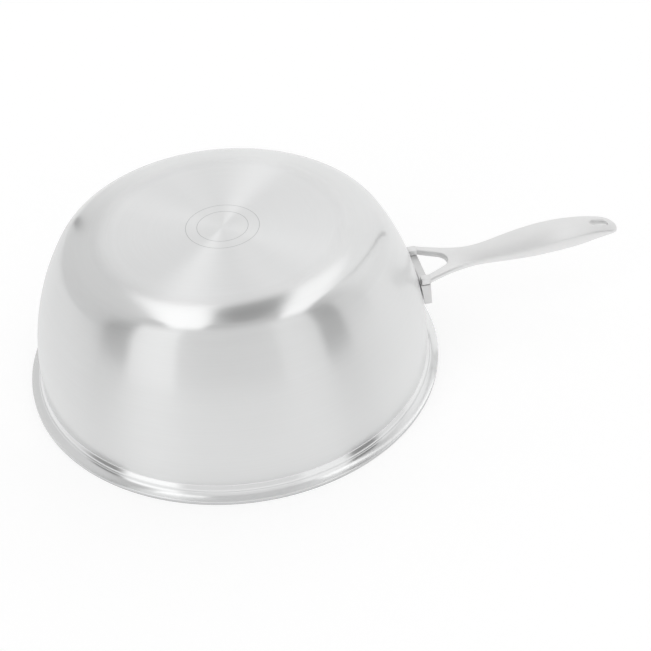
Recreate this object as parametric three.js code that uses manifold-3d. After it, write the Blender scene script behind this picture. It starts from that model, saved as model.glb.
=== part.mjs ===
// A clad stainless saute pan with a welded, forked handle, in millimetres.
// It lies as it is stored, turned over on its rim: the base faces up, and +X runs out along the handle.
// The origin is the middle of the base's outer face, which the pan stands on in use.
import * as THREE from "three";
import { mergeVertices } from "three/addons/utils/BufferGeometryUtils.js";
import Module from "manifold-3d";

const wasm = await Module();
wasm.setup();

// Bowl
const panHeight = 99;
const baseFlatRadius = 81;
const cornerRadius = 22.2;
const wallSpread = 41.7; // how far the wall swells out from the edge of the flat base
const lipFlare = 7.3; // how far the pouring lip stands out from the wall
const lipFillet = 2.2;
const lipSteep = 50; // degrees below level, where the lip leaves the fillet
const lipAngle = 25; // the same where the lip is trimmed, as it curls out towards level

// Clad sheet
const outerSkin = 0.5;
const alloyPly = 0.25; // on each side of the core
const corePly = 0.8;
const innerSkin = 0.5;
const bondLine = 0.02; // between one ply and the next

// Foot of the handle
const footLength = 38.4;
const footHeight = 14.8;
const footThickness = 5.2; // at its upper edge
const footLean = 5; // degrees that the outer face leans out towards the rim
const footTopHeight = 43.9; // above the rim
const footBevel = 0.7;
const seatGap = 0.3; // between a welded piece and its seat
const seatDepth = 4; // how far the uncut foot and arms reach into the wall

// Handle from above: widths are between the two creases, reaches run out from the foot's outer face
const forkWidth = 36.4; // over both arms, at the foot
const armSplay = 24; // degrees that the arms' outer sides turn from the handle's axis
const forkSplay = 26.5; // the same for their inner sides
const forkReach = 16; // to the crotch of the fork
const crotchRadius = 8;
const neckReach = 35;
const neckWidth = 17;
const neckEase = 12; // how far the side runs on straight before it curves
const gripReach = 78;
const gripWidth = 24;
const gripEase = 20;
const shoulderReach = 122;
const shoulderWidth = 16;
const shoulderTurn = 8; // degrees that the sides close in at the shoulder
const shoulderEase = 14;
const handleReach = 129.5; // to the tip
const tipEase = 5;
const tipFlat = 11; // width over which the tip is nearly straight

// Handle from the side
const handleRise = 0.5; // degrees that the handle rises while the pan lies on its rim
const gripLift = 8.3; // how much more it rises between the two reaches below
const liftReach = 18;
const crestReach = 100;
const droopReach = 100; // where the tip begins to curve over
const tipDroop = 4;
const armDepth = 3.8; // from the crease down, at the foot
const gripDepth = 8.5;
const tipDepth = 1.8;
const swellReach = 15; // where the handle begins to deepen
const fullReach = 90; // where it has the grip's depth
const taperReach = 92; // where it begins to thin towards the tip
const armCrown = 0.6; // from the crease up to the middle of the face
const gripCrown = 1.2;
const tipCrown = 0.4;
const flankLean = 20; // degrees that the flanks lean out below the crease
const beltShare = 0.45; // of the depth, from the crease to the widest line
const flankRound = 6; // how far the underside's rounding reaches in from the widest line
const flankFullness = 2.5; // 2 is an ellipse, more is squarer

// Hanging slot near the tip
const slotLength = 12;
const slotWidth = 5.8;
const slotReach = 117.7; // to its middle

// Facets
const turnSteps = 44;
const cornerSteps = 4;
const wallSteps = 5;
const filletSteps = 2;
const lipSteps = 2;
const outlineSteps = 8;
const crownSteps = 6;
const flankSteps = 12;

const radians = THREE.MathUtils.degToRad;
const { lerp, smoothstep } = THREE.MathUtils;

const alloyLook = { color: 0xb4b7ba, roughness: 0.5, metalness: 1 };
const plies = [
  { name: "outer_skin", thickness: outerSkin, look: { color: 0xc9cacb, roughness: 0.32, metalness: 1 } },
  { name: "outer_alloy_ply", thickness: alloyPly, look: alloyLook },
  { name: "core_ply", thickness: corePly, look: { color: 0xd3d5d8, roughness: 0.45, metalness: 1 } },
  { name: "inner_alloy_ply", thickness: alloyPly, look: alloyLook },
  { name: "inner_skin", thickness: innerSkin, look: { color: 0xd0d1d2, roughness: 0.25, metalness: 1 } },
];
const sheet = plies.reduce((sum, ply) => sum + ply.thickness, 0) + bondLine * (plies.length - 1);

const pointTolerance = 1e-4; // closer points are one point

// A closed geometry as a solid that can be cut.
function solidOf(geometry) {
  const bare = geometry.clone().deleteAttribute("normal").deleteAttribute("uv");
  const merged = mergeVertices(bare, pointTolerance);
  return new wasm.Manifold(
    new wasm.Mesh({
      numProp: 3,
      vertProperties: new Float32Array(merged.attributes.position.array),
      triVerts: new Uint32Array(merged.index.array),
    }),
  );
}

function geometryOf(solid) {
  const mesh = solid.getMesh();
  const geometry = new THREE.BufferGeometry();
  geometry.setAttribute("position", new THREE.BufferAttribute(mesh.vertProperties, 3));
  geometry.setIndex(new THREE.BufferAttribute(mesh.triVerts, 1));
  return geometry;
}

function piece(name, geometry, look) {
  const mesh = new THREE.Mesh(geometry, new THREE.MeshStandardMaterial(look));
  mesh.name = name;
  return mesh;
}

// The bowl's outer line: flat base, corner arc, wall arc that stands upright where the lip begins, and lip.
const lipSlope = radians(lipAngle);
const trimHeight = sheet / Math.cos(lipSlope); // height of the trimmed edge
const filletTurn = Math.PI / 2 - radians(lipSteep);
const lipTurn = Math.PI / 2 - lipSlope;
const filletSpread = lipFillet * (1 - Math.cos(filletTurn));
const lipCurl = (lipFlare - filletSpread) / (Math.cos(filletTurn) - Math.cos(lipTurn)); // radius of the lip
const lipDrop = lipCurl * (Math.sin(lipTurn) - Math.sin(filletTurn));
const lipTop = trimHeight + lipDrop + lipFillet * Math.sin(filletTurn);
const bellyRadius = baseFlatRadius + wallSpread;
const cornerTop = panHeight - cornerRadius;
const wallRise = cornerTop - lipTop;
const wallCurve =
  (wallSpread ** 2 - cornerRadius ** 2 + wallRise ** 2) / (2 * (wallSpread - cornerRadius));
const wallTurn = Math.asin(wallRise / (wallCurve - cornerRadius));
const lipRadius = bellyRadius + lipFlare;
const lipCentreR = lipRadius + lipCurl * Math.cos(lipTurn);
const lipCentreZ = trimHeight + lipCurl * Math.sin(lipTurn);

// Each station has a point on the outer face and the direction that the next ply is offset from it.
function arcStations(centreR, centreZ, radius, from, to, steps) {
  const stations = [];
  for (let i = 1; i <= steps; i++) {
    const turn = lerp(from, to, i / steps);
    const out = new THREE.Vector2(Math.cos(turn), Math.sin(turn));
    const point = new THREE.Vector2(centreR, centreZ).addScaledVector(out, radius);
    stations.push({ point, out });
  }
  return stations;
}

const up = new THREE.Vector2(0, 1);
const bowlLine = [
  { point: new THREE.Vector2(0, panHeight), out: up },
  { point: new THREE.Vector2(baseFlatRadius, panHeight), out: up },
  ...arcStations(baseFlatRadius, cornerTop, cornerRadius, Math.PI / 2, wallTurn, cornerSteps),
  ...arcStations(bellyRadius - wallCurve, lipTop, wallCurve, wallTurn, 0, wallSteps),
  ...arcStations(bellyRadius + lipFillet, lipTop, -lipFillet, 0, filletTurn, filletSteps),
  ...arcStations(lipCentreR, lipCentreZ, -lipCurl, filletTurn, lipTurn, lipSteps).slice(0, -1),
  { point: new THREE.Vector2(lipRadius, trimHeight), out: new THREE.Vector2(0, 1 / Math.cos(lipSlope)) },
];

const atDepth = (depth) => bowlLine.map(({ point, out }) => point.clone().addScaledVector(out, -depth));

// One ply of the sheet, turned between two depths below the outer face.
function plyGeometry(depth, thickness) {
  const outer = atDepth(depth);
  const inner = atDepth(depth + thickness);
  const loop = [...inner, ...outer.reverse()];
  return new THREE.LatheGeometry(loop, turnSteps).rotateX(Math.PI / 2);
}

// The whole bowl with the welded pieces' clearance, to cut their seats with.
const seatCutter = () =>
  new THREE.LatheGeometry([new THREE.Vector2(0, 0), ...atDepth(-seatGap).reverse()], turnSteps).rotateX(
    Math.PI / 2,
  );

// The wall's radius at a height above the rim.
const wallRadiusAt = (height) =>
  bellyRadius - wallCurve + Math.sqrt(wallCurve ** 2 - (height - lipTop) ** 2);

// The foot is an extruded side profile: its outer face leans out, and its inner face is cut to the wall.
const footBottomHeight = footTopHeight - footHeight;
const footOuterTop = wallRadiusAt(footTopHeight) + seatGap + footThickness;
const armStart = footOuterTop - footThickness - seatDepth;
const footOuterBottom = footOuterTop + footHeight * Math.tan(radians(footLean));

function footGeometry() {
  const side = new THREE.Shape();
  side.moveTo(armStart, footBottomHeight);
  side.lineTo(footOuterBottom - footBevel, footBottomHeight);
  side.lineTo(footOuterBottom, footBottomHeight + footBevel);
  side.lineTo(footOuterTop, footTopHeight - footBevel);
  side.lineTo(footOuterTop - footBevel, footTopHeight);
  side.lineTo(armStart, footTopHeight);
  const foot = new THREE.ExtrudeGeometry(side, {
    depth: footLength - 2 * footBevel,
    bevelThickness: footBevel,
    bevelSize: footBevel,
    bevelOffset: -footBevel,
    bevelSegments: 1,
  });
  foot.translate(0, 0, footBevel - footLength / 2).rotateX(Math.PI / 2);
  return geometryOf(solidOf(foot).subtract(solidOf(seatCutter())));
}

// Half of the handle's plan outline, from the wall over the foot to the tip.
const reachX = (reach) => footOuterTop + reach;
const tipX = reachX(handleReach);

function planOutline() {
  const fork = forkWidth / 2;
  const neck = neckWidth / 2;
  const grip = gripWidth / 2;
  const shoulder = shoulderWidth / 2;
  const armSlope = Math.tan(radians(armSplay));
  const armRun = (fork - neck) / armSlope;
  const shoulderSlope = Math.tan(radians(shoulderTurn));
  const plan = new THREE.Path();
  plan.moveTo(armStart, fork + (footOuterTop - armStart) * armSlope);
  plan.lineTo(reachX(0), fork);
  plan.quadraticCurveTo(reachX(armRun), neck, reachX(neckReach), neck);
  plan.bezierCurveTo(
    reachX(neckReach + neckEase),
    neck,
    reachX(gripReach - gripEase),
    grip,
    reachX(gripReach),
    grip,
  );
  plan.bezierCurveTo(
    reachX(gripReach + gripEase),
    grip,
    reachX(shoulderReach - shoulderEase),
    shoulder + shoulderEase * shoulderSlope,
    reachX(shoulderReach),
    shoulder,
  );
  plan.bezierCurveTo(
    reachX(shoulderReach + tipEase),
    shoulder - tipEase * shoulderSlope,
    tipX,
    tipFlat / 2,
    tipX,
    0,
  );
  return plan.getPoints(outlineSteps);
}

// The crease runs along both sides of the handle, between its crowned face and its rounded flanks.
const creaseAtFoot = footTopHeight + armDepth;
const past = (x, reach) => Math.max(0, (x - reachX(reach)) / (tipX - reachX(reach)));

function sideAt(x) {
  const reach = x - reachX(0);
  const lift = gripLift * smoothstep(reach, liftReach, crestReach);
  const droop = tipDroop * past(x, droopReach) ** 3;
  const thin = past(x, taperReach) ** 2;
  const swell = smoothstep(reach, swellReach, fullReach);
  return {
    crease: creaseAtFoot + reach * Math.tan(radians(handleRise)) + lift - droop,
    depth: lerp(lerp(armDepth, gripDepth, swell), tipDepth, thin),
    crown: lerp(lerp(armCrown, gripCrown, swell), tipCrown, thin),
  };
}

// One cross-section: the crowned face from crease to crease, then on round the flanks and underside.
function sectionAt(x, half) {
  const { crease, depth, crown } = sideAt(x);
  const belt = depth * beltShare;
  const widest = half + belt * Math.tan(radians(flankLean));
  const round = Math.min(flankRound, widest);
  const power = 2 / flankFullness;
  const ring = [];
  for (let i = 0; i <= crownSteps; i++) {
    const y = lerp(1, -1, i / crownSteps);
    ring.push(new THREE.Vector3(x, half * y, crease + crown * (1 - y * y)));
  }
  for (let i = 0; i <= flankSteps; i++) {
    const turn = (Math.PI * i) / flankSteps;
    const side = -Math.sign(Math.cos(turn));
    const inset = round * (1 - Math.abs(Math.cos(turn)) ** power);
    const drop = belt + (depth - belt) * Math.sin(turn) ** power;
    ring.push(new THREE.Vector3(x, side * (widest - inset), crease - drop));
  }
  return ring;
}

// Skins a row of equal rings and closes both ends with a fan.
function loft(rings) {
  const points = rings.flat();
  const count = rings[0].length;
  const index = [];
  for (let row = 0; row + 1 < rings.length; row++) {
    for (let i = 0; i < count; i++) {
      const a = row * count + i;
      const b = row * count + ((i + 1) % count);
      index.push(a, b, a + count, b, b + count, a + count);
    }
  }
  const last = (rings.length - 1) * count;
  for (let i = 1; i + 1 < count; i++) {
    index.push(0, i + 1, i, last, last + i, last + i + 1);
  }
  return new THREE.BufferGeometry().setFromPoints(points).setIndex(index);
}

// A plan shape as a tall block that cuts right through.
const throughCut = (shape) =>
  new THREE.ExtrudeGeometry(shape, { depth: panHeight, bevelEnabled: false, curveSegments: outlineSteps });

// The space between the two arms, open towards the wall and round at the crotch.
function forkCutter() {
  const centre = reachX(forkReach - crotchRadius);
  const slope = radians(forkSplay);
  const openHalf = (crotchRadius + centre * Math.sin(slope)) / Math.cos(slope); // at the pan's axis
  const sideTurn = Math.PI / 2 - slope;
  const shape = new THREE.Shape();
  shape.moveTo(0, openHalf);
  shape.lineTo(0, -openHalf);
  shape.absarc(centre, 0, crotchRadius, -sideTurn, sideTurn);
  return throughCut(shape);
}

function slotCutter() {
  const radius = slotWidth / 2;
  const run = slotLength / 2 - radius;
  const shape = new THREE.Shape();
  shape.absarc(run, 0, radius, -Math.PI / 2, Math.PI / 2);
  shape.absarc(-run, 0, radius, Math.PI / 2, 1.5 * Math.PI);
  return throughCut(shape).translate(reachX(slotReach), 0, 0);
}

// Room below the arms for the foot.
function footCutter() {
  const room = footTopHeight + seatGap;
  const length = footOuterTop + seatGap;
  return new THREE.BoxGeometry(length, 2 * footLength, room).translate(length / 2, 0, room / 2);
}

const tipHalf = 0.04; // half of the sliver of width that the last cross-section keeps

// The casting: a lofted blade, parted into two arms and cut to stand on the foot and meet the wall.
function handleGeometry() {
  const rings = planOutline().map(({ x, y }) => sectionAt(x, Math.max(y, tipHalf)));
  const casting = solidOf(loft(rings))
    .subtract(solidOf(forkCutter()))
    .subtract(solidOf(slotCutter()))
    .subtract(solidOf(footCutter()))
    .subtract(solidOf(seatCutter()));
  return geometryOf(casting);
}

const sautePan = new THREE.Group();
const onRim = new THREE.Group(); // heights inside are above the rim
onRim.position.z = -panHeight;
sautePan.add(onRim);

let depth = 0;
for (const { name, thickness, look } of plies) {
  onRim.add(piece(name, plyGeometry(depth, thickness), look));
  depth += thickness + bondLine;
}
onRim.add(piece("handle_foot", footGeometry(), { color: 0xc2c3c4, roughness: 0.35, metalness: 1 }));
onRim.add(piece("handle", handleGeometry(), { color: 0xcccdce, roughness: 0.38, metalness: 1 }));

export default sautePan;
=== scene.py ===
from math import asin, cos, hypot, pi, radians, sin, sqrt, tan
import bmesh
import bpy
from mathutils import Matrix, Vector
from mathutils.geometry import interpolate_bezier


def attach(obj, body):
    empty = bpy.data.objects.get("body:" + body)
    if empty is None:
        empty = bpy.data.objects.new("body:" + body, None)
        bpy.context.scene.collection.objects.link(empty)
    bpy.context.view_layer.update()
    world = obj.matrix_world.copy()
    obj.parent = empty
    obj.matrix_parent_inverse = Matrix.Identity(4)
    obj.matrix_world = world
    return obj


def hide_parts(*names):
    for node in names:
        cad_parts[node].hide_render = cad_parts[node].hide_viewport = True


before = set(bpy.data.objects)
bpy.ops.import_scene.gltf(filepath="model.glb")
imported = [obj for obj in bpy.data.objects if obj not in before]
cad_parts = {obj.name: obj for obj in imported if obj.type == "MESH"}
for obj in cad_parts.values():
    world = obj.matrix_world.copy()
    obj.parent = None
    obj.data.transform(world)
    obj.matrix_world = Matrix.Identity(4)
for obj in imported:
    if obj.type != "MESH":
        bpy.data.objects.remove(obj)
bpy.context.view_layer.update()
scene = bpy.context.scene
scene.view_settings.view_transform = "Standard"
millimetre = 0.001
print("frame loaded:", len(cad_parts), "nodes")


# Shader maths: a wrapped socket takes part in plain arithmetic.
class Value:
    def __init__(self, bench, socket):
        self.bench, self.socket = bench, socket

    def math(self, operation, *terms):
        return self.bench.node("ShaderNodeMath", {"operation": operation}, dict(enumerate(terms)))

    def __add__(self, other): return self.math("ADD", self, other)
    def __radd__(self, other): return self.math("ADD", other, self)
    def __sub__(self, other): return self.math("SUBTRACT", self, other)
    def __rsub__(self, other): return self.math("SUBTRACT", other, self)
    def __mul__(self, other): return self.math("MULTIPLY", self, other)
    def __rmul__(self, other): return self.math("MULTIPLY", other, self)
    def __truediv__(self, other): return self.math("DIVIDE", self, other)
    def __rtruediv__(self, other): return self.math("DIVIDE", other, self)
    def __pow__(self, other): return self.math("POWER", self, other)


class Bench:
    def __init__(self, tree):
        self.tree = tree
        tree.nodes.clear()

    # type, then settings, then values or links of its sockets
    def node(self, kind, settings=None, inputs=None, out=0):
        made = self.tree.nodes.new(kind)
        for key, value in (settings or {}).items():
            if key == "stops":  # of a ramp: place and grey level
                for place, level in value[1:-1]:
                    made.color_ramp.elements.new(place)
                for element, (place, level) in zip(made.color_ramp.elements, value):
                    element.position, element.color = place, (level, level, level, 1.0)
            else:
                setattr(made, key, value)
        for key, value in (inputs or {}).items():
            if isinstance(value, Value):
                self.tree.links.new(value.socket, made.inputs[key])
            else:
                made.inputs[key].default_value = value
        return Value(self, made.outputs[out]) if len(made.outputs) else None

    def split(self, vector):
        xyz = self.node("ShaderNodeSeparateXYZ", None, {0: vector})
        return [Value(self, socket) for socket in xyz.socket.node.outputs]

    def ease(self, value, low, high):  # smooth 0 to 1
        return self.node("ShaderNodeMapRange", {"interpolation_type": "SMOOTHSTEP"},
                         {0: value, 1: low, 2: high})

    def band(self, value, low, high, soft):  # 1 between low and high
        return self.ease(value, low - soft, low + soft) * (1 - self.ease(value, high - soft, high + soft))

    def noise(self, vector, detail=2.0, rough=0.5):
        return self.node("ShaderNodeTexNoise", None,
                         {"Vector": vector, "Scale": 1.0, "Detail": detail, "Roughness": rough})

    def marks(self, xyz, perMetre, detail=2.0, rough=0.5):  # noise about zero
        steps = {axis: part * count for axis, (part, count) in enumerate(zip(xyz, perMetre))}
        return self.noise(self.node("ShaderNodeCombineXYZ", None, steps), detail, rough) - 0.5

    def grey(self, value):
        return self.node("ShaderNodeCombineColor", None, {0: value, 1: value, 2: value})

    def tint(self, value, colour):  # a grey level times a colour
        return self.node("ShaderNodeMix", {"data_type": "RGBA", "blend_type": "MULTIPLY"},
                         {0: 1.0, 6: self.grey(value), 7: (*colour, 1.0)}, out=2)


def newMaterial(name):
    material = bpy.data.materials.new(name)
    material.use_nodes = True
    return material, Bench(material.node_tree)


def inMetres(sizes):
    return [size * millimetre for size in sizes]


# Steel is a sharp sheen over a broad one, as fine brushing leaves it.
def steelShader(bench, finish, level, roughness, share, normal, broad=None):
    if broad is None:
        broad = finish["broad"]
    colour = bench.tint(level, finish["tint"])
    lobes = []
    for rough, brushed in ((roughness, finish["brushed"]), (broad, finish["broadBrushed"])):
        lobes.append(bench.node("ShaderNodeBsdfPrincipled", None, {
            "Base Color": colour, "Metallic": 1.0, "Roughness": rough, "Anisotropic": brushed,
            "Anisotropic Rotation": 0.25, "Normal": normal}))  # a quarter turn, across the brushing
    mixed = bench.node("ShaderNodeMixShader", None, {0: share, 1: lobes[1], 2: lobes[0]})
    bench.node("ShaderNodeOutputMaterial", None, {"Surface": mixed})


def bumpOf(bench, height, distance, strength):
    return bench.node("ShaderNodeBump", None, {"Strength": strength, "Distance": distance, "Height": height},
                      out="Normal")


# Brushing lines run round the bowl's axis.
def turnedGrain(bench, finish):
    x, y, z = bench.split(bench.node("ShaderNodeTexCoord", out="Object"))
    radius = (x * x + y * y) ** 0.5
    around = radius.math("MAXIMUM", radius, 0.0002)  # never nothing, even on the axis
    grainAt = bench.node("ShaderNodeCombineXYZ", None, {
        0: x / around * finish["lineRun"], 1: y / around * finish["lineRun"],
        2: (radius - z) * finish["lines"]})  # from the middle of the base down to the lip
    return (x, y, z), radius, bench.noise(grainAt, 3.0, 0.6) - 0.5


outerFinish = {
    "tint": (0.995, 1.0, 1.0),
    "level": 0.83,  # how light the steel is
    # painted light: the base's colour is made lighter, standing in for the light that falls on the top of
    # the upturned pan
    "paintedBaseLight": 0.09,
    "sharp": 0.15,  # roughness of the sheen
    "broad": 0.52,
    "lipBroad": 0.29,
    "share": 0.32,  # of the sharp sheen
    "baseShare": 0.08,
    "cornerShare": 0.53,
    "lipShare": 0.74,
    "brushed": 0.89,
    "broadBrushed": 0.85,
    "lines": 2000.0,  # brushing lines per metre
    "lineRun": 1.6,  # how soon a line changes on its way round
    "lineLevel": 0.05,
    "lineRough": 0.03,
    "lineBump": (0.00002, 0.06),  # depth in metres, strength
    "cloud": (45.0, 45.0, 45.0),  # soft patches per metre
    "cloudLevel": 0.015,
    "baseEdge": (64.0, 78.0),  # places in mm: radii, and heights below the base, where a finish fades
    "baseDepth": (-6.0, -1.0),
    "corner": (73.0, 94.0),
    "cornerSoft": 5.0,
    "cornerDepth": (-30.0, -15.0),
    "lipDepth": (-91.3, -90.4),
    "ringRadii": (21.9, 15.2),  # plain etched rings in the middle of the base
    "ringWidth": 0.32,
    "ringSoft": 0.12,
    "ringDepth": (-4.0, -2.0),
    "ringDarker": 0.35,
    "ringBite": 2.0,  # against the brushing's depth
}


def makeOuterSteel():
    material, bench = newMaterial("turned_steel")
    finish = outerFinish
    place, radius, grain = turnedGrain(bench, finish)
    z = place[2]
    cloud = bench.marks(place, finish["cloud"])
    base = 1 - bench.ease(radius, *inMetres(finish["baseEdge"]))
    base = base * bench.ease(z, *inMetres(finish["baseDepth"]))
    corner = bench.band(radius, *inMetres(finish["corner"]), finish["cornerSoft"] * millimetre)
    corner = corner * bench.ease(z, *inMetres(finish["cornerDepth"]))
    lip = 1 - bench.ease(z, *inMetres(finish["lipDepth"]))
    satin = 1 - lip
    etched = 0.0
    for ring in finish["ringRadii"]:
        edges = inMetres((ring - finish["ringWidth"] / 2, ring + finish["ringWidth"] / 2))
        etched = bench.band(radius, *edges, finish["ringSoft"] * millimetre) + etched
    etched = etched * bench.ease(z, *inMetres(finish["ringDepth"]))
    # the base gets a painted lighter colour for the light on it; the brushing lines and soft patches are the
    # steel's own
    level = (finish["level"] + base * finish["paintedBaseLight"] + grain * satin * finish["lineLevel"]
             + cloud * finish["cloudLevel"])
    level = level * (1 - etched * finish["ringDarker"])
    roughness = finish["sharp"] + grain * satin * finish["lineRough"]
    share = finish["share"]
    for mask, part in ((lip, "lipShare"), (base, "baseShare"), (corner, "cornerShare")):
        share = mask * (finish[part] - finish["share"]) + share
    broad = finish["broad"] + lip * (finish["lipBroad"] - finish["broad"])
    normal = bumpOf(bench, grain * satin - etched * finish["ringBite"], *finish["lineBump"])
    steelShader(bench, finish, level, roughness, share, normal, broad)
    return material


innerFinish = {
    "tint": (1.0, 0.998, 0.99),
    "level": 0.70,
    "sharp": 0.22,
    "broad": 0.55,
    "share": 0.45,
    "brushed": 0.6,
    "broadBrushed": 0.4,
    "lines": 2200.0,
    "lineRun": 1.3,
    "lineLevel": 0.05,
    "lineRough": 0.08,
    "lineBump": (0.00002, 0.2),
}


def makeInnerSteel():
    material, bench = newMaterial("cooking_steel")
    finish = innerFinish
    grain = turnedGrain(bench, finish)[2]
    steelShader(bench, finish, finish["level"] + grain * finish["lineLevel"],
                finish["sharp"] + grain * finish["lineRough"], finish["share"],
                bumpOf(bench, grain, *finish["lineBump"]))
    return material


# Metals with marks per metre along each axis: the trimming tool's on the plies, grit on foot and handle.
plainMetal = {"brushed": 0.0, "broadBrushed": 0.0}
sawnMetal = {**plainMetal, "marks": (700.0, 700.0, 4000.0), "markDetail": 3.0, "markLevel": 0.08,
             "markRough": 0.1, "markBump": (0.00003, 0.3)}
satinMetal = {**plainMetal, "tint": (1.0, 1.0, 0.998), "markDetail": 2.0, "markLevel": 0.04,
              "markRough": 0.06, "markBump": (0.00002, 0.2), "cloud": (70.0, 90.0, 90.0), "cloudLevel": 0.03}
metalFinish = {
    "alloy_ply": {**sawnMetal, "tint": (0.985, 0.99, 1.0), "level": 0.58, "sharp": 0.42, "broad": 0.6,
                  "share": 0.5},
    "aluminium_core": {**sawnMetal, "tint": (0.99, 0.995, 1.0), "level": 0.66, "sharp": 0.36, "broad": 0.6,
                       "share": 0.5},
    "handle_satin": {**satinMetal, "marks": (416.0, 5200.0, 5200.0), "level": 0.82, "sharp": 0.32,
                     "broad": 0.62, "share": 0.5},
    "foot_satin": {**satinMetal, "marks": (4200.0, 504.0, 4200.0), "level": 0.73, "sharp": 0.33,
                   "broad": 0.58, "share": 0.45},
}


def makeMetal(name):
    material, bench = newMaterial(name)
    finish = metalFinish[name]
    place = bench.split(bench.node("ShaderNodeTexCoord", out="Object"))
    marks = bench.marks(place, finish["marks"], finish["markDetail"], 0.6)
    level = finish["level"] + marks * finish["markLevel"]
    if "cloud" in finish:
        level = level + bench.marks(place, finish["cloud"]) * finish["cloudLevel"]
    steelShader(bench, finish, level, finish["sharp"] + marks * finish["markRough"], finish["share"],
                bumpOf(bench, marks, *finish["markBump"]))
    return material


# A bmesh in millimetres becomes a piece in metres that stands for its node.
def finishPiece(bm, node, material, sharpAbove=40):
    bmesh.ops.scale(bm, vec=(millimetre,) * 3, verts=bm.verts)
    for face in bm.faces:
        face.smooth = True
    for edge in bm.edges:
        edge.smooth = len(edge.link_faces) == 2 and edge.calc_face_angle(0.0) < radians(sharpAbove)
    mesh = bpy.data.meshes.new(node + "_look")
    bm.to_mesh(mesh)
    bm.free()
    mesh.materials.append(material)
    piece = bpy.data.objects.new(node + "_look", mesh)
    scene.collection.objects.link(piece)
    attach(piece, "root")
    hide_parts(node)
    print("made", piece.name, len(mesh.polygons), "faces")
    return piece


# Bowl: the clad sheet's line is walked out along one face and back along the other, then turned.
bowl = {
    "height": 99.0,
    "flatRadius": 81.0,
    "cornerRadius": 22.2,
    "baseEase": (80.0, 12.0),  # radius and turn of the broad arc that eases the base into the corner
    "wallSpread": 41.7,
    "lipFlare": 7.3,
    "lipFillet": (1.5, 38.0),  # radius and turn of the bend out of the wall
    "lipCone": 1.5,
    "lipBead": (3.0, 34.0),  # and of the small bead below it
    "lipRoot": 1.8,
    "lipSteep": 20.0,  # degrees below level where the lip leaves its root
    "lipAngle": 1.0,  # and where it is trimmed
    "flatMargin": 0.3,  # keeps the shading of the flat base flat
    "turnSteps": 192,
    "easeSteps": 8,
    "cornerSteps": 16,
    "wallSteps": 18,
    "filletSteps": 6,
    "lipSteps": 14,
    "edgeBreak": 0.22,  # on the trimmed edge of both skins
    "bondLine": 0.02,
    "plies": (
        ("outer_skin", 0.5, "outer_steel"),
        ("outer_alloy_ply", 0.25, "bonding_alloy"),
        ("core_ply", 0.8, "core_aluminium"),
        ("inner_alloy_ply", 0.25, "bonding_alloy"),
        ("inner_skin", 0.5, "inner_steel"),
    ),
}
sheet = sum(ply[1] for ply in bowl["plies"]) + bowl["bondLine"] * (len(bowl["plies"]) - 1)
lipSlope = radians(bowl["lipAngle"])
trimHeight = sheet / cos(lipSlope)
(fillet, filletTurn), (bead, beadTurn) = bowl["lipFillet"], bowl["lipBead"]
filletTurn, rootTurn, root = radians(filletTurn), pi / 2 - radians(bowl["lipSteep"]), bowl["lipRoot"]
beadTurn, lipTurn = filletTurn - radians(beadTurn), pi / 2 - lipSlope
coneRun, coneDrop = bowl["lipCone"] * sin(filletTurn), bowl["lipCone"] * cos(filletTurn)
lipSpread = (fillet * (1 - cos(filletTurn)) + coneRun + bead * (cos(beadTurn) - cos(filletTurn))
             + root * (cos(beadTurn) - cos(rootTurn)))
lipDrop = (fillet * sin(filletTurn) + coneDrop + bead * (sin(filletTurn) - sin(beadTurn))
           + root * (sin(rootTurn) - sin(beadTurn)))
lipCurl = (bowl["lipFlare"] - lipSpread) / (cos(rootTurn) - cos(lipTurn))
lipTop = trimHeight + lipCurl * (sin(lipTurn) - sin(rootTurn)) + lipDrop
bellyRadius = bowl["flatRadius"] + bowl["wallSpread"]
cornerTop = bowl["height"] - bowl["cornerRadius"]
wallRise = cornerTop - lipTop
wallCurve = ((bowl["wallSpread"] ** 2 - bowl["cornerRadius"] ** 2 + wallRise ** 2)
             / (2 * (bowl["wallSpread"] - bowl["cornerRadius"])))
wallTurn = asin(wallRise / (wallCurve - bowl["cornerRadius"]))
easeCurve, easeTurn = bowl["baseEase"][0], radians(bowl["baseEase"][1])
wallStart = (bellyRadius - wallCurve + wallCurve * cos(wallTurn), lipTop + wallCurve * sin(wallTurn))
tightCurve = ((bowl["height"] - easeCurve * (1 - cos(easeTurn)) - wallStart[1])
              / (cos(easeTurn) - sin(wallTurn)))
easeEnd = wallStart[0] - tightCurve * (cos(wallTurn) - sin(easeTurn))
flatEnd = easeEnd - easeCurve * sin(easeTurn)
tightCentre = (wallStart[0] - tightCurve * cos(wallTurn), wallStart[1] - tightCurve * sin(wallTurn))
beadCentre = (bellyRadius + fillet + coneRun - (fillet + bead) * cos(filletTurn),
              lipTop - coneDrop - (fillet + bead) * sin(filletTurn))
rootCentre = (beadCentre[0] + (bead + root) * cos(beadTurn), beadCentre[1] + (bead + root) * sin(beadTurn))
lipRadius = bellyRadius + bowl["lipFlare"]
lipCentre = (lipRadius + lipCurl * cos(lipTurn), trimHeight + lipCurl * sin(lipTurn))
wallBends = (  # from the base down: centre, turn and steps
    (flatEnd, bowl["height"] - easeCurve, easeTurn, bowl["easeSteps"]),
    (*tightCentre, pi / 2 - easeTurn - wallTurn, bowl["cornerSteps"]),
    (bellyRadius - wallCurve, lipTop, wallTurn, bowl["wallSteps"]),
    (bellyRadius + fillet, lipTop, -filletTurn, bowl["filletSteps"]),
)
lipBends = (  # below the cone
    (*beadCentre, filletTurn - beadTurn, bowl["filletSteps"]),
    (*rootCentre, beadTurn - rootTurn, bowl["filletSteps"]),
)


def wallRadiusAt(height):
    return bellyRadius - wallCurve + sqrt(wallCurve ** 2 - (height - lipTop) ** 2)


def lineTo(bm, vert, r, height):
    made = bmesh.ops.extrude_vert_indiv(bm, verts=[vert])["verts"][0]
    made.co = (r, 0, height - bowl["height"])
    return made


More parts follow.
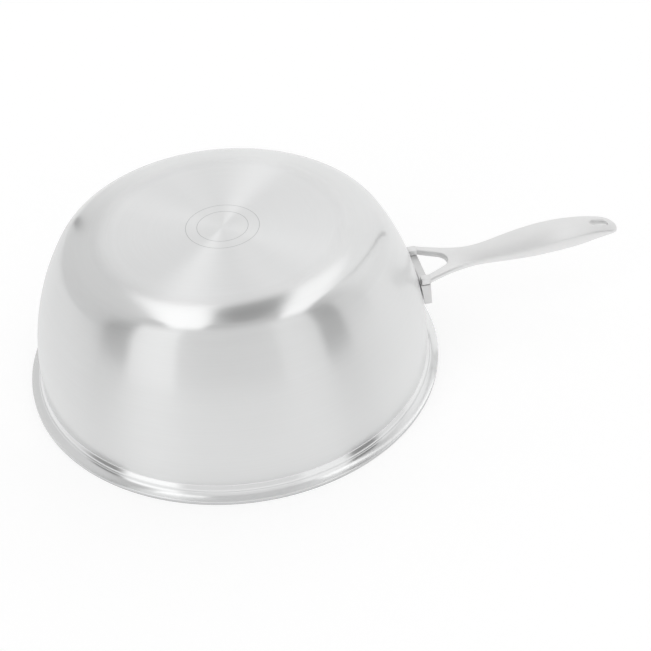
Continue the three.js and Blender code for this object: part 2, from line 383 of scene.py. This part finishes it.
def arcTo(bm, vert, r, height, turn, steps):
    walked = bmesh.ops.spin(bm, geom=[vert], cent=(r, 0, height - bowl["height"]), axis=(0, 1, 0),
                            angle=turn, steps=steps, use_duplicate=False)
    return next(made for made in walked["geom_last"] if isinstance(made, bmesh.types.BMVert))


def bendsTo(bm, vert, bends, back=False):
    for r, height, turn, steps in (bends[::-1] if back else bends):
        vert = arcTo(bm, vert, r, height, -turn if back else turn, steps)
    return vert


def makePly(node, depth, thickness, material):
    bm = bmesh.new()
    inside = depth + thickness
    top = bowl["height"]
    flatRings = (flatEnd / 2, flatEnd - bowl["flatMargin"], flatEnd)
    # the trim's place on the lip's arc, from straight down
    trimTurns = [asin((lipCentre[0] - lipRadius) / (lipCurl + d)) for d in (depth, inside)]
    pen = bm.verts.new((0, 0, -depth))
    for reach in flatRings:
        pen = lineTo(bm, pen, reach, top - depth)
    pen = bendsTo(bm, pen, wallBends)
    pen = lineTo(bm, pen, pen.co.x + coneRun, pen.co.z + top - coneDrop)
    pen = bendsTo(bm, pen, lipBends)
    pen = trimTop = arcTo(bm, pen, *lipCentre, rootTurn - pi / 2 + trimTurns[0], bowl["lipSteps"])
    low = lipCentre[1] - (lipCurl + inside) * cos(trimTurns[1])
    pen = trimLow = lineTo(bm, pen, lipRadius, low)
    pen = arcTo(bm, pen, *lipCentre, pi / 2 - rootTurn - trimTurns[1], bowl["lipSteps"])
    pen = bendsTo(bm, pen, lipBends, back=True)
    pen = lineTo(bm, pen, pen.co.x - coneRun, pen.co.z + top + coneDrop)
    pen = bendsTo(bm, pen, wallBends, back=True)
    for reach in flatRings[1::-1] + (0,):
        pen = lineTo(bm, pen, reach, top - inside)
    brokenEdge = {"outer_skin": trimTop, "inner_skin": trimLow}.get(node)
    if brokenEdge is not None:
        bmesh.ops.bevel(bm, geom=[brokenEdge], offset=bowl["edgeBreak"], affect="VERTICES", segments=3,
                        profile=0.5, material=-1)
    bmesh.ops.spin(bm, geom=bm.verts[:] + bm.edges[:], cent=(0, 0, 0), axis=(0, 0, 1), angle=2 * pi,
                   steps=bowl["turnSteps"], use_merge=True)
    bmesh.ops.remove_doubles(bm, verts=bm.verts, dist=0.0005)
    bmesh.ops.recalc_face_normals(bm, faces=bm.faces)
    return finishPiece(bm, node, material)


plyMaterials = {"outer_steel": makeOuterSteel(), "bonding_alloy": makeMetal("alloy_ply"),
                "core_aluminium": makeMetal("aluminium_core"), "inner_steel": makeInnerSteel()}
plyDepth = 0.0
for plyNode, plyThickness, plySlot in bowl["plies"]:
    makePly(plyNode, plyDepth, plyThickness, plyMaterials[plySlot])
    plyDepth += plyThickness + bowl["bondLine"]
print("bowl turned")

# Foot: a flat bar whose inner face follows the wall, with broken edges.
foot = {
    "length": 38.4,
    "height": 14.8,
    "thickness": 5.2,
    "lean": 5.0,
    "topHeight": 43.9,
    "edgeBreak": 0.45,
    "flatMargin": 0.12,  # keeps the flats flat beside the broken edges
    "seatGap": 0.3,
    "follow": 0.95,  # how far its inner face follows the wall's curve
    "lengthCuts": 15,
    "heightCuts": 3,
    "cornerAbove": 40.0,  # degrees between two faces of a corner
    "flatWithin": 0.975,  # cosine, and the least area in mm2, of a flat
    "flatArea": 2.0,
}
footBottom = foot["topHeight"] - foot["height"]
footOuterTop = wallRadiusAt(foot["topHeight"]) + foot["seatGap"] + foot["thickness"]


def seatX(y, z):  # where the wall's clearance is
    return sqrt((wallRadiusAt(z + bowl["height"]) + foot["seatGap"]) ** 2 - y * y)


def makeFoot():
    bm = bmesh.new()
    bmesh.ops.create_cube(bm, size=1.0)
    bmesh.ops.scale(bm, vec=(1.0, foot["length"], foot["height"]), verts=bm.verts)
    bmesh.ops.translate(bm, vec=(0, 0, footBottom + foot["height"] / 2 - bowl["height"]), verts=bm.verts)
    for axis, cuts in ((1, foot["lengthCuts"]), (2, foot["heightCuts"])):
        runs = [edge for edge in bm.edges if abs((edge.verts[0].co - edge.verts[1].co)[axis]) > 1]
        bmesh.ops.subdivide_edges(bm, edges=runs, cuts=cuts, use_grid_fill=True)
    for vert in bm.verts:
        down = foot["topHeight"] - bowl["height"] - vert.co.z
        if vert.co.x > 0:
            vert.co.x = footOuterTop + down * tan(radians(foot["lean"]))
        else:
            vert.co.x = seatX(vert.co.y * foot["follow"], vert.co.z)
    corners = [edge for edge in bm.edges if edge.calc_face_angle(0.0) > radians(foot["cornerAbove"])]
    bmesh.ops.bevel(bm, geom=corners, offset=foot["edgeBreak"], offset_type="OFFSET", affect="EDGES",
                    segments=4, profile=0.5, material=-1)
    bmesh.ops.recalc_face_normals(bm, faces=bm.faces)
    for side in ((0, 0, 1), (0, 0, -1), (0, 1, 0), (0, -1, 0), (1, 0, 0), (-1, 0, 0)):
        flats = [face for face in bm.faces
                 if face.normal.dot(side) > foot["flatWithin"] and face.calc_area() > foot["flatArea"]]
        bmesh.ops.inset_region(bm, faces=flats, thickness=foot["flatMargin"], use_even_offset=True)
    return finishPiece(bm, "handle_foot", makeMetal("foot_satin"))


makeFoot()

# Handle: one half is drawn out station by station from a ring, then mirrored.
grip = {
    "forkWidth": 36.4,
    "armSplay": 24.0,
    "forkSplay": 26.5,
    "forkReach": 16.0,
    "crotchRadius": 8.0,
    "neck": (35.0, 17.0, 12.0),  # reach, width, ease
    "belly": (78.0, 24.0, 20.0),
    "shoulder": (122.0, 16.0, 14.0),
    "shoulderTurn": 8.0,
    "reach": 129.5,
    "tipEase": 5.0,
    "tipFlat": 11.0,
    "rise": 0.5,
    "lift": (8.3, 18.0, 100.0),  # height, from reach, to reach
    "droop": (4.0, 100.0),
    "depth": (3.8, 8.5, 1.8),  # at the arms, the belly and the tip
    "crown": (0.6, 1.2, 0.4),
    "swell": (15.0, 90.0),
    "taper": 92.0,
    "flankLean": 20.0,
    "beltShare": 0.45,
    "flankRound": 6.0,
    "flankFullness": 2.5,
    "creaseSoft": 0.9,
    "slot": (117.7, 12.0, 5.8),  # reach of its middle, length, width
    "forkEdge": 0.8,  # rounding of the edges round the fork and the slot
    "slotEdge": 0.7,
    "underEdge": 0.8,
    "innerBulge": 0.5,  # of the openings' walls
    "bulgeLine": ((0.25, 0.8), (0.5, 1.0), (0.75, 0.6)),  # shares of the wall's height and of the bulge
    "tipHalf": 0.04,
    "armRun": 12.0,  # how far the plan line starts inside the foot's face
    "armStart": 0.1,
    "pad": (5.605, 0.2, 0.12, 0.25, 0.12),  # the arms' ends on the foot: run, overlap, rise, edges, gap
    "creaseShare": 0.3,  # the most that the crease and the round underside take of the width
    "underShare": 0.8,
    "crowding": 1.7,  # draws the lines of the faces towards the openings
    "planSteps": 160,
    "ringSteps": (18, 4, 10, 9),  # over the face, the crease, the flank and the underside
    "sharpAbove": 55,
}


def reachX(reach):
    return footOuterTop + reach


def smooth(value, low, high):
    t = min(1.0, max(0.0, (value - low) / (high - low)))
    return t * t * (3 - 2 * t)


def lerp(a, b, t):
    return a + (b - a) * t


def planLine():
    fork, slope = grip["forkWidth"] / 2, tan(radians(grip["armSplay"]))
    neckReach, neckWidth, neckEase = grip["neck"]
    bellyReach, bellyWidth, bellyEase = grip["belly"]
    shoulderReach, shoulderWidth, shoulderEase = grip["shoulder"]
    close = tan(radians(grip["shoulderTurn"]))
    neck, belly, shoulder = neckWidth / 2, bellyWidth / 2, shoulderWidth / 2

    def at(reach, half):
        return Vector((reachX(reach), half, 0.0))

    bend = at((fork - neck) / slope, neck)  # where the straight arm would meet the neck
    armEnd, neckAt = at(0, fork), at(neckReach, neck)
    curves = [
        (armEnd, armEnd.lerp(bend, 2 / 3), neckAt.lerp(bend, 2 / 3), neckAt),
        (neckAt, at(neckReach + neckEase, neck), at(bellyReach - bellyEase, belly), at(bellyReach, belly)),
        (at(bellyReach, belly), at(bellyReach + bellyEase, belly),
         at(shoulderReach - shoulderEase, shoulder + shoulderEase * close), at(shoulderReach, shoulder)),
        (at(shoulderReach, shoulder),
         at(shoulderReach + grip["tipEase"], shoulder - grip["tipEase"] * close),
         at(grip["reach"], grip["tipFlat"] / 2), at(grip["reach"], 0)),
    ]
    line = [at(-grip["armRun"], fork + grip["armRun"] * slope)]
    for curve in curves:
        line += interpolate_bezier(*curve, grip["planSteps"])
    return line


handlePlan = planLine()


def halfAt(x):
    for a, b in zip(handlePlan, handlePlan[1:]):
        if b.x > a.x and a.x <= x <= b.x:
            return max(grip["tipHalf"], lerp(a.y, b.y, (x - a.x) / (b.x - a.x)))
    return grip["tipHalf"]


def past(x, reach):
    return max(0.0, (x - reachX(reach)) / (grip["reach"] - reach))


def sideAt(x):
    reach = x - footOuterTop
    height, fromReach, toReach = grip["lift"]
    drop, dropReach = grip["droop"]
    thin, swell = past(x, grip["taper"]) ** 2, smooth(reach, *grip["swell"])
    crease = (foot["topHeight"] + grip["depth"][0] + reach * tan(radians(grip["rise"]))
              + height * smooth(reach, fromReach, toReach) - drop * past(x, dropReach) ** 3)
    depth = lerp(lerp(grip["depth"][0], grip["depth"][1], swell), grip["depth"][2], thin)
    crown = lerp(lerp(grip["crown"][0], grip["crown"][1], swell), grip["crown"][2], thin)
    return crease - bowl["height"], depth, crown


forkCentre = reachX(grip["forkReach"] - grip["crotchRadius"])
forkSlope = radians(grip["forkSplay"])
slotCentre = reachX(grip["slot"][0])
slotRadius = grip["slot"][2] / 2
slotRun = grip["slot"][1] / 2 - slotRadius


def openingAt(x):  # half width of the fork's gap or the slot
    dx = x - forkCentre
    if dx <= grip["crotchRadius"] * sin(forkSlope):
        return (grip["crotchRadius"] - dx * sin(forkSlope)) / cos(forkSlope)
    if dx < grip["crotchRadius"]:
        return sqrt(grip["crotchRadius"] ** 2 - dx ** 2)
    over = max(0.0, abs(x - slotCentre) - slotRun)
    return sqrt(slotRadius ** 2 - over ** 2) if over < slotRadius else 0.0


def roundingAt(x, y, share=1.0):  # how far an edge's rounding drops the face
    dx = x - forkCentre
    if dx * cos(forkSlope) <= y * sin(forkSlope):
        fromFork = dx * sin(forkSlope) + y * cos(forkSlope) - grip["crotchRadius"]
    else:
        fromFork = hypot(dx, y) - grip["crotchRadius"]
    fromSlot = hypot(max(0.0, abs(x - slotCentre) - slotRun), y) - slotRadius
    drop = 0.0
    for gap, radius in ((fromFork, grip["forkEdge"] * share), (fromSlot, grip["slotEdge"] * share)):
        if gap < radius:
            drop += radius - sqrt(radius ** 2 - (radius - max(0.0, gap)) ** 2)
    return drop


def ringAt(x):
    faceSteps, creaseSteps, flankSteps, underSteps = grip["ringSteps"]
    half, opening = halfAt(x), openingAt(x)
    crease, depth, crown = sideAt(x)
    soft = min(grip["creaseSoft"], grip["creaseShare"] * half)
    lean = tan(radians(grip["flankLean"]))
    belt = depth * grip["beltShare"]
    widest = half + belt * lean
    under = min(grip["flankRound"], (widest - opening) * grip["underShare"])
    power = 2 / grip["flankFullness"]

    def faceHeight(y):
        return crease + crown * (1 - (y / half) ** 2) - roundingAt(x, y)

    ring = []
    for i in range(faceSteps):  # closer together by the opening
        y = lerp(opening, half - soft, (i / faceSteps) ** grip["crowding"])
        ring.append((y, faceHeight(y)))
    a, b, c = (half - soft, faceHeight(half - soft)), (half, crease), (half + soft * lean, crease - soft)
    if belt < soft * 1.2:  # by the thin tip
        c = (half + belt * 0.5 * lean, crease - belt * 0.5)
    for i in range(creaseSteps + 1):
        t = i / creaseSteps
        ring.append(tuple(p * (1 - t) ** 2 + 2 * q * t * (1 - t) + r * t * t for p, q, r in zip(a, b, c)))
    for i in range(flankSteps + 1):
        turn = pi / 2 * i / flankSteps
        inset = under * (1 - cos(turn) ** power) if i < flankSteps else under
        ring.append((widest - inset, crease - belt - (depth - belt) * sin(turn) ** power))
    for i in range(1, underSteps + 1):
        y = lerp(widest - under, opening, 1 - (1 - i / underSteps) ** grip["crowding"])
        ring.append((y, crease - depth + roundingAt(x, y, grip["underEdge"] / grip["forkEdge"])))
    top, low = ring[0][1], ring[-1][1]
    bulge = min(opening, grip["innerBulge"])
    ring += [(opening - bulge * swell, lerp(low, top, t)) for t, swell in grip["bulgeLine"]]
    seat = foot["topHeight"] + foot["seatGap"] - bowl["height"]
    if x <= footOuterTop + foot["seatGap"]:  # room for the foot
        ring = [(y, max(z, seat)) for y, z in ring]
    return [Vector((x, y, z)) for y, z in ring]


def stationsBetween(low, high, count, crowd):
    for i in range(count):
        t = i / count
        yield lerp(low, high, {"even": t, "ends": (1 - cos(pi * t)) / 2, "end": sin(pi / 2 * t)}[crowd])


def handleStations():
    tangent = forkCentre + grip["crotchRadius"] * sin(forkSlope)
    apex = forkCentre + grip["crotchRadius"]
    slotLow, slotHigh = slotCentre - slotRun - slotRadius, slotCentre + slotRun + slotRadius
    edge = grip["slotEdge"]
    step = footOuterTop + foot["seatGap"]
    runs = [  # from, to, number of rings, how they crowd
        (footOuterTop - grip["armStart"], step, 2, "even"), (step, step + 0.05, 1, "even"),
        (step + 0.05, tangent, 10, "even"),
        (tangent, apex, 14, "end"), (apex, apex + grip["forkEdge"], 8, "ends"),
        (apex + grip["forkEdge"], slotLow - edge, 60, "even"), (slotLow - edge, slotLow, 6, "ends"),
        (slotLow, slotCentre - slotRun, 10, "ends"), (slotCentre - slotRun, slotCentre + slotRun, 8, "even"),
        (slotCentre + slotRun, slotHigh, 12, "ends"), (slotHigh, slotHigh + edge, 6, "ends"),
        (slotHigh + edge, reachX(grip["reach"]), 22, "end"),
    ]
    stations = [x for run in runs for x in stationsBetween(*run)]
    return stations + [reachX(grip["reach"])]


# Over the foot an arm ends in a flat pad.
def addPad(bm):
    run, overlap, rise, edge, gap = grip["pad"]
    start, end = footOuterTop - run, footOuterTop + overlap
    seat = foot["topHeight"] + gap - bowl["height"]
    low, top = openingAt(footOuterTop), sideAt(footOuterTop)[0] + rise
    wide = halfAt(footOuterTop) + overlap
    pad = bmesh.ops.create_cube(bm, size=1.0)["verts"]
    bmesh.ops.scale(bm, vec=(end - start, wide - low, top - seat), verts=pad)
    bmesh.ops.translate(bm, vec=((start + end) / 2, (low + wide) / 2, (seat + top) / 2), verts=pad)
    bmesh.ops.bevel(bm, geom=list({line for vert in pad for line in vert.link_edges}), offset=edge,
                    offset_type="OFFSET", affect="EDGES", segments=3, profile=0.5, material=-1)


def makeHandle():
    bm = bmesh.new()
    count = len(ringAt(footOuterTop))
    place = bm.verts.layers.int.new("place")  # carried along by each extrusion
    drawn = bmesh.ops.create_circle(bm, segments=count, radius=1.0)
    for i, vert in enumerate(drawn["verts"]):
        vert[place] = i
    ringVerts, ringEdges = drawn["verts"], bm.edges[:]
    for step, x in enumerate(handleStations()):
        if step:
            pulled = bmesh.ops.extrude_edge_only(bm, edges=ringEdges)["geom"]
            ringVerts = [made for made in pulled if isinstance(made, bmesh.types.BMVert)]
            ringEdges = [made for made in pulled if isinstance(made, bmesh.types.BMEdge)]
        line = ringAt(x)
        for vert in ringVerts:
            vert.co = line[vert[place]]
    bmesh.ops.holes_fill(bm, edges=[edge for edge in bm.edges if edge.is_boundary], sides=0)
    inPlane = [face for face in bm.faces if all(abs(vert.co.y) < 1e-6 for vert in face.verts)]
    bmesh.ops.delete(bm, geom=inPlane, context="FACES")
    addPad(bm)
    bmesh.ops.mirror(bm, geom=bm.verts[:] + bm.edges[:] + bm.faces[:], axis="Y", merge_dist=1e-5)
    bmesh.ops.remove_doubles(bm, verts=bm.verts, dist=1e-4)
    bmesh.ops.recalc_face_normals(bm, faces=bm.faces)
    return finishPiece(bm, "handle", makeMetal("handle_satin"), grip["sharpAbove"])


makeHandle()

# Studio: soft panels with darker gaps stand round the camera, two strips and a dark bar hang over the bench.
studio = {
    "faces": -95.0,  # azimuth of the camera's side
    "fanFrom": -0.76,  # seen from above, the panels' edges point to this place beyond the bench
    "panels": (  # degrees round it from the camera's side, and how light it is there
        (-180, 1.0), (-140, 0.9), (-110, 0.45), (-75, 0.6), (-51, 0.66), (-47, 0.26), (-38.5, 0.26),
        (-35.5, 1.2), (-21, 1.2), (-19, 0.8), (13.5, 0.8), (15, 1.0), (28, 1.0), (31, 0.25), (38, 0.25),
        (41, 0.85), (65, 0.72), (90, 0.75), (180, 1.0)),
    "topFrom": (80.0, 110.0),  # degrees from the camera's horizon over the top, where the panels end
    "top": (0.72, 0.45, 0.95),  # how light the tent is there: left, between the strips, right
    "topTurns": ((-150, -110), (-48, -30), (30, 60), (75, 110)),  # degrees over which each gives way
    "strips": (  # start, slope, half width, light
        (-0.07, -0.25, 0.08, 1.55),
        (0.15, 0.24, 0.075, 1.5)),
    "stripRun": (-0.74, -0.70, -0.25, 0.05),  # fade in and fade out
    "stripSoft": 0.012,
    "bar": (-0.575, 0.04, 0.16, 0.085, 0.0),  # dark: place, half sizes, light
    "barSoft": (0.45, 1.3),
    "overBench": (0.05, 0.2),  # heights over which the strips and the bar come in
    "farSide": 1.0,
    "clear": (0.03, 0.10),  # radii round the fan's middle, where the panels fade in
    "seams": ((-0.72, -1.0, 0.25), (-0.383, 1.0, 0.30)),  # far edges of the tent: place, side, from
    "seamShape": (0.45, 0.02, 0.2, 0.08),  # slant, half width, light, fade in
    "rise": (-0.08, 0.15),  # heights over which the panels come in above the bench
    "benchLight": 1.1,
    "floorColour": 0.45,
    "floorGlow": 0.63,  # for the camera and reflections
    "floorSize": 3.0,
    "floorSides": 96,
}


def makeWorld():
    world = bpy.data.worlds.new("studio")
    scene.world = world
    world.use_nodes = True
    bench = Bench(world.node_tree)
    x, y, z = bench.split(bench.node("ShaderNodeTexCoord", out="Generated"))
    faces = radians(studio["faces"])
    near = x * cos(faces) + y * sin(faces)
    side = y * cos(faces) - x * sin(faces)
    reach = near - studio["fanFrom"]
    turn = bench.node("ShaderNodeMath", {"operation": "ARCTAN2"}, {0: side, 1: reach})
    stops = [((angle + 180) / 360, level) for angle, level in studio["panels"]]
    light = bench.node("ShaderNodeValToRGB", {"stops": stops}, {0: turn / (2 * pi) + 0.5})
    over = bench.node("ShaderNodeMath", {"operation": "ARCTAN2"}, {0: z, 1: near}) * (180 / pi)
    levels = (studio["farSide"], *studio["top"], studio["farSide"])
    top = studio["farSide"]
    for (start, end), before, after in zip(studio["topTurns"], levels, levels[1:]):
        top = bench.ease(turn, radians(start), radians(end)) * (after - before) + top
    light = light + bench.ease(over, *studio["topFrom"]) * (top - light)
    apart = (reach * reach + side * side) ** 0.5
    light = studio["farSide"] + bench.ease(apart, *studio["clear"]) * (light - studio["farSide"])
    fromNear, fullNear, fadeFar, endFar = studio["stripRun"]
    run = bench.ease(near, fromNear, fullNear) * (1 - bench.ease(near, fadeFar, endFar))
    above = bench.ease(z, *studio["overBench"])
    for start, slope, half, level in studio["strips"]:
        aside = (side - start - reach * slope) / sqrt(1 + slope * slope)
        strip = bench.band(aside, -half, half, studio["stripSoft"]) * run * above
        light = light + strip * (level - light)
    place, aside, length, width, level = studio["bar"]
    away = ((near - place) / length) ** 2 + ((side - aside) / width) ** 2
    light = light + (1 - bench.ease(away, *studio["barSoft"])) * above * (level - light)
    slant, half, level, fade = studio["seamShape"]
    for place, hand, start in studio["seams"]:
        out = side * hand
        across = near - place + out * slant
        seam = bench.band(across, -half, half, half / 2) * bench.ease(out, start, start + fade)
        light = light * (1 - seam * (1 - level))
    light = studio["benchLight"] + bench.ease(z, *studio["rise"]) * (light - studio["benchLight"])
    path = bench.node("ShaderNodeLightPath")
    seen = Value(bench, path.socket.node.outputs["Is Camera Ray"])
    strength = seen + (1 - seen) * light
    background = bench.node("ShaderNodeBackground", None, {"Color": (1, 1, 1, 1), "Strength": strength})
    bench.node("ShaderNodeOutputWorld", None, {"Surface": background})


def makeFloor():
    material, bench = newMaterial("pale_floor")
    path = bench.node("ShaderNodeLightPath").socket.node.outputs
    shown = 0.0
    for ray in ("Is Camera Ray", "Is Glossy Ray", "Is Transmission Ray"):
        shown = Value(bench, path[ray]) + shown
    matt = bench.node("ShaderNodeBsdfDiffuse", None, {"Color": (studio["floorColour"],) * 3 + (1,)})
    strength = shown.math("MINIMUM", shown, 1.0) * studio["floorGlow"]
    glow = bench.node("ShaderNodeEmission", None, {"Color": (1, 1, 1, 1), "Strength": strength})
    both = bench.node("ShaderNodeAddShader", None, {0: matt, 1: glow})
    bench.node("ShaderNodeOutputMaterial", None, {"Surface": both})
    bm = bmesh.new()
    bmesh.ops.create_circle(bm, cap_ends=True, segments=studio["floorSides"], radius=studio["floorSize"])
    bmesh.ops.translate(bm, vec=(0, 0, -bowl["height"] * millimetre), verts=bm.verts)
    mesh = bpy.data.meshes.new("floor")
    bm.to_mesh(mesh)
    bm.free()
    mesh.materials.append(material)
    floor = bpy.data.objects.new("floor", mesh)
    scene.collection.objects.link(floor)


makeWorld()
makeFloor()
print("studio lit")

# Camera: stands where the photo was taken from.
view = {
    "place": (-0.0491, -0.5616, 0.3962),
    "yaw": 10.938,  # degrees
    "pitch": 40.371,
    "roll": -2.441,
    "lens": 63.95,  # mm
    "sensor": 36.0,
    "nearest": 0.01,
}
camera = bpy.data.objects.new("camera", bpy.data.cameras.new("camera"))
scene.collection.objects.link(camera)
camera.data.lens = view["lens"]
camera.data.sensor_width = view["sensor"]
camera.data.clip_start = view["nearest"]
camera.matrix_world = (Matrix.Translation(view["place"]) @ Matrix.Rotation(radians(-view["yaw"]), 4, "Z")
                       @ Matrix.Rotation(radians(90 - view["pitch"]), 4, "X")
                       @ Matrix.Rotation(radians(view["roll"]), 4, "Z"))
scene.camera = camera

bpy.context.view_layer.update()
